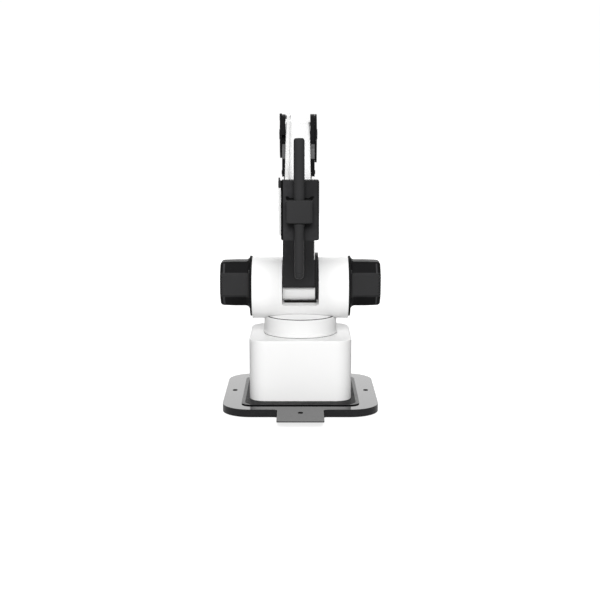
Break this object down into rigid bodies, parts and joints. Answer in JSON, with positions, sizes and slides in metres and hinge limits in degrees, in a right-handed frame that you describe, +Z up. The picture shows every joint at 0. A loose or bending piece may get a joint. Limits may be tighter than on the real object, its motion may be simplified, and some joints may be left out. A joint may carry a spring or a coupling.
{
  "type": "desktop robot arm",
  "caption": "Desktop robot arm on a square base with a front tab: turning shoulder drum with side motors, parallelogram arm with level-keeping links, and a clipped pen as its tool.",
  "frame": {"origin": "centre of the underside, on the turret's turning axis", "axes": "+Z up along the turning axis, -Y the front (tab and tool side), X along the shoulder axis"},
  "size_m": [0.158, 0.2078, 0.284],
  "materials": {
    "white_plastic": "satin white moulded plastic with a very fine grain",
    "black_plastic": "satin black moulded plastic with a fine grain",
    "gloss_black": "polished black plate, mirror-like reflections",
    "rubber": "matt black rubber",
    "steel": "turned steel",
    "motor_metal": "black painted laminations and end caps",
    "aluminium": "machined aluminium",
    "brass": "turned bush bronze",
    "board": "green circuit board with solder resist"
  },
  "bodies": {
    "base": {"anti_slip_pad": "rubber", "base_plate": "gloss_black", "base_skirt": "gloss_black", "base_housing": "white_plastic", "base_floor": "motor_metal", "main_board": "board", "yaw_motor": "motor_metal", "timing_belt": "rubber", "slew_bearing_outer": "steel", "power_inlet": "black_plastic", "usb_port": "steel"},
    "yaw_pulley": {"yaw_pulley": "aluminium"},
    "power_button": {"power_button": "black_plastic"},
    "turret": {"neck": "white_plastic", "turret_shaft": "steel", "turret_pulley": "aluminium", "slew_bearing_inner": "steel", "shoulder_housing": "white_plastic", "flange_left": "black_plastic", "flange_right": "black_plastic", "motor_cover_left": "black_plastic", "motor_cover_right": "black_plastic", "shoulder_motor_left": "motor_metal", "shoulder_motor_right": "motor_metal", "gearbox_left": "aluminium", "gearbox_right": "aluminium", "shoulder_bearing_left": "steel", "shoulder_bearing_right": "steel", "level_anchor_pin": "steel"},
    "lower_arm": {"lower_arm_frame": "white_plastic", "lower_arm_front_cover": "black_plastic", "elbow_fork_left": "black_plastic", "elbow_fork_right": "black_plastic", "elbow_plate_right": "black_plastic", "elbow_axle": "steel", "shoulder_shaft_left": "steel"},
    "level_plate": {"level_plate": "black_plastic", "level_plate_rear_pin": "steel", "level_plate_front_pin": "steel"},
    "level_rod": {"level_rod": "white_plastic"},
    "head_link": {"head_link": "white_plastic"},
    "drive_rod": {"drive_rod": "white_plastic"},
    "crank": {"crank_plate": "black_plastic", "crank_shaft": "steel", "crank_pin": "steel"},
    "crank_bush": {"crank_bush": "brass"},
    "forearm": {"forearm_shell": "white_plastic", "elbow_bearing_left": "steel", "elbow_bearing_right": "steel", "forearm_drive_pin": "steel", "wrist_bearing_left": "steel", "wrist_bearing_right": "steel"},
    "head": {"wrist_bracket": "white_plastic", "wrist_axle": "steel", "head_link_pin": "steel", "tool_block": "black_plastic", "pen_clip": "black_plastic"},
    "pen": {"pen_barrel": "black_plastic", "pen_tip": "black_plastic"}
  },
  "joints": [
    {"name": "turret_yaw", "type": "hinge", "parent": "base", "child": "turret", "pos_m": [0, 0, 0.0683], "axis": [0, 0, 1], "range_deg": [-160, 160]},
    {"name": "yaw_pulley_spin", "type": "hinge", "parent": "base", "child": "yaw_pulley", "pos_m": [0, 0.025, 0.0463], "axis": [0, 0, 1], "range_deg": [-400, 400]},
    {"name": "power_button_press", "type": "slide", "parent": "base", "child": "power_button", "axis": [0, -1, 0], "range_m": [0, 0.0015], "stiffness_N_per_m": 400, "springref_m": -0.0005},
    {"name": "shoulder", "type": "hinge", "parent": "turret", "child": "lower_arm", "pos_m": [0, 0, 0.117], "axis": [1, 0, 0], "range_deg": [-8, 47]},
    {"name": "level_plate_pivot", "type": "hinge", "parent": "lower_arm", "child": "level_plate", "pos_m": [0, 0.042, 0.263], "axis": [1, 0, 0], "range_deg": [-47, 8]},
    {"name": "forearm_lift", "type": "hinge", "parent": "level_plate", "child": "forearm", "pos_m": [0, 0.042, 0.263], "axis": [1, 0, 0], "range_deg": [-25, 15]},
    {"name": "head_link_pivot", "type": "hinge", "parent": "level_plate", "child": "head_link", "pos_m": [0, 0.037, 0.28], "axis": [1, 0, 0], "range_deg": [-25, 15]},
    {"name": "wrist", "type": "hinge", "parent": "forearm", "child": "head", "pos_m": [0, -0.091, 0.205], "axis": [1, 0, 0], "range_deg": [-15, 25]},
    {"name": "pen_slide", "type": "slide", "parent": "head", "child": "pen", "axis": [0, 0, 1], "range_m": [-0.02, 0.025]},
    {"name": "level_rod_pivot", "type": "hinge", "parent": "turret", "child": "level_rod", "pos_m": [0, 0.0269, 0.11465], "axis": [1, 0, 0], "range_deg": [-8, 47]},
    {"name": "crank", "type": "hinge", "parent": "turret", "child": "crank", "pos_m": [0, 0, 0.117], "axis": [1, 0, 0], "range_deg": [-25, 15]},
    {"name": "crank_bush_turn", "type": "hinge", "parent": "crank", "child": "crank_bush", "pos_m": [0, 0.02337, 0.12719], "axis": [1, 0, 0], "range_deg": [-15, 25]},
    {"name": "drive_rod_pivot", "type": "hinge", "parent": "crank_bush", "child": "drive_rod", "pos_m": [0, 0.02337, 0.12719], "axis": [1, 0, 0], "range_deg": [-8, 47]}
  ],
  "couplings": [
    {"joint": "yaw_pulley_spin", "follows": "turret_yaw", "ratio": 2.5},
    {"joint": "level_plate_pivot", "follows": "shoulder", "ratio": -1},
    {"joint": "level_rod_pivot", "follows": "shoulder", "ratio": 1},
    {"joint": "drive_rod_pivot", "follows": "shoulder", "ratio": 1},
    {"joint": "head_link_pivot", "follows": "forearm_lift", "ratio": 1},
    {"joint": "wrist", "follows": "forearm_lift", "ratio": -1},
    {"joint": "crank", "follows": "forearm_lift", "ratio": 1},
    {"joint": "crank_bush_turn", "follows": "forearm_lift", "ratio": -1}
  ]
}
